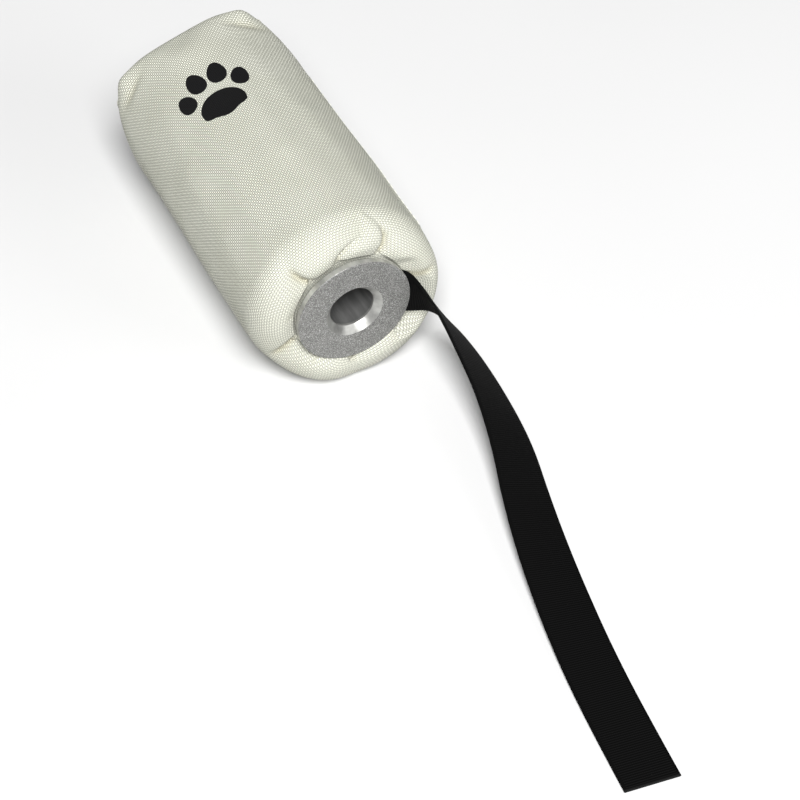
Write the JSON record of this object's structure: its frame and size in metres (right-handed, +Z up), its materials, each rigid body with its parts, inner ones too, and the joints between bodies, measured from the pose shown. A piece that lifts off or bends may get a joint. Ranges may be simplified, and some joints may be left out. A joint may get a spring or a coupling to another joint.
{
  "type": "launcher training dummy",
  "caption": "Soft round canvas retrieving dummy with a metal-lined launcher bore, a flange ring at its gathered mouth and a flat webbing streamer.",
  "frame": {"origin": "on the ground, under the middle of the dummy's length, without its streamer", "axes": "+Z up; the dummy lies on its side with its axis along Y; the flange ring and the launcher bore face -Y; the sewn end is at +Y; +X is the side the streamer leaves from"},
  "size_m": [0.0985, 0.4267, 0.0889],
  "materials": {
    "flange_aluminium": "tumbled matt face with a turned, brighter countersink",
    "sleeve_aluminium": "smooth drawn tube",
    "pin_steel": "plain",
    "washer_plastic": "moulded",
    "tie_nylon": "natural nylon",
    "foam": "closed-cell foam, matt and finely pitted",
    "canvas": "coarse plain weave, off-white",
    "canvas_seam": "coarse plain weave, folded and sewn",
    "thread": "bonded sewing thread",
    "ink": "black screen-printing ink that shows the weave",
    "webbing": "black webbing with fine cross ribs and smooth selvedges"
  },
  "bodies": {
    "root": {"flange_ring": "flange_aluminium", "sleeve_tube": "sleeve_aluminium", "end_plug": "sleeve_aluminium", "plug_pin": "pin_steel", "thrust_washer": "washer_plastic", "gather_tie": "tie_nylon", "foam_core": "foam", "foam_end_pad": "foam", "canvas_cover": "canvas", "side_seam": "canvas_seam", "side_seam_stitches": "thread", "end_seam": "canvas_seam", "gusset_seams": "canvas_seam", "printed_mark": "ink", "streamer_strap": "webbing"}
  },
  "joints": []
}
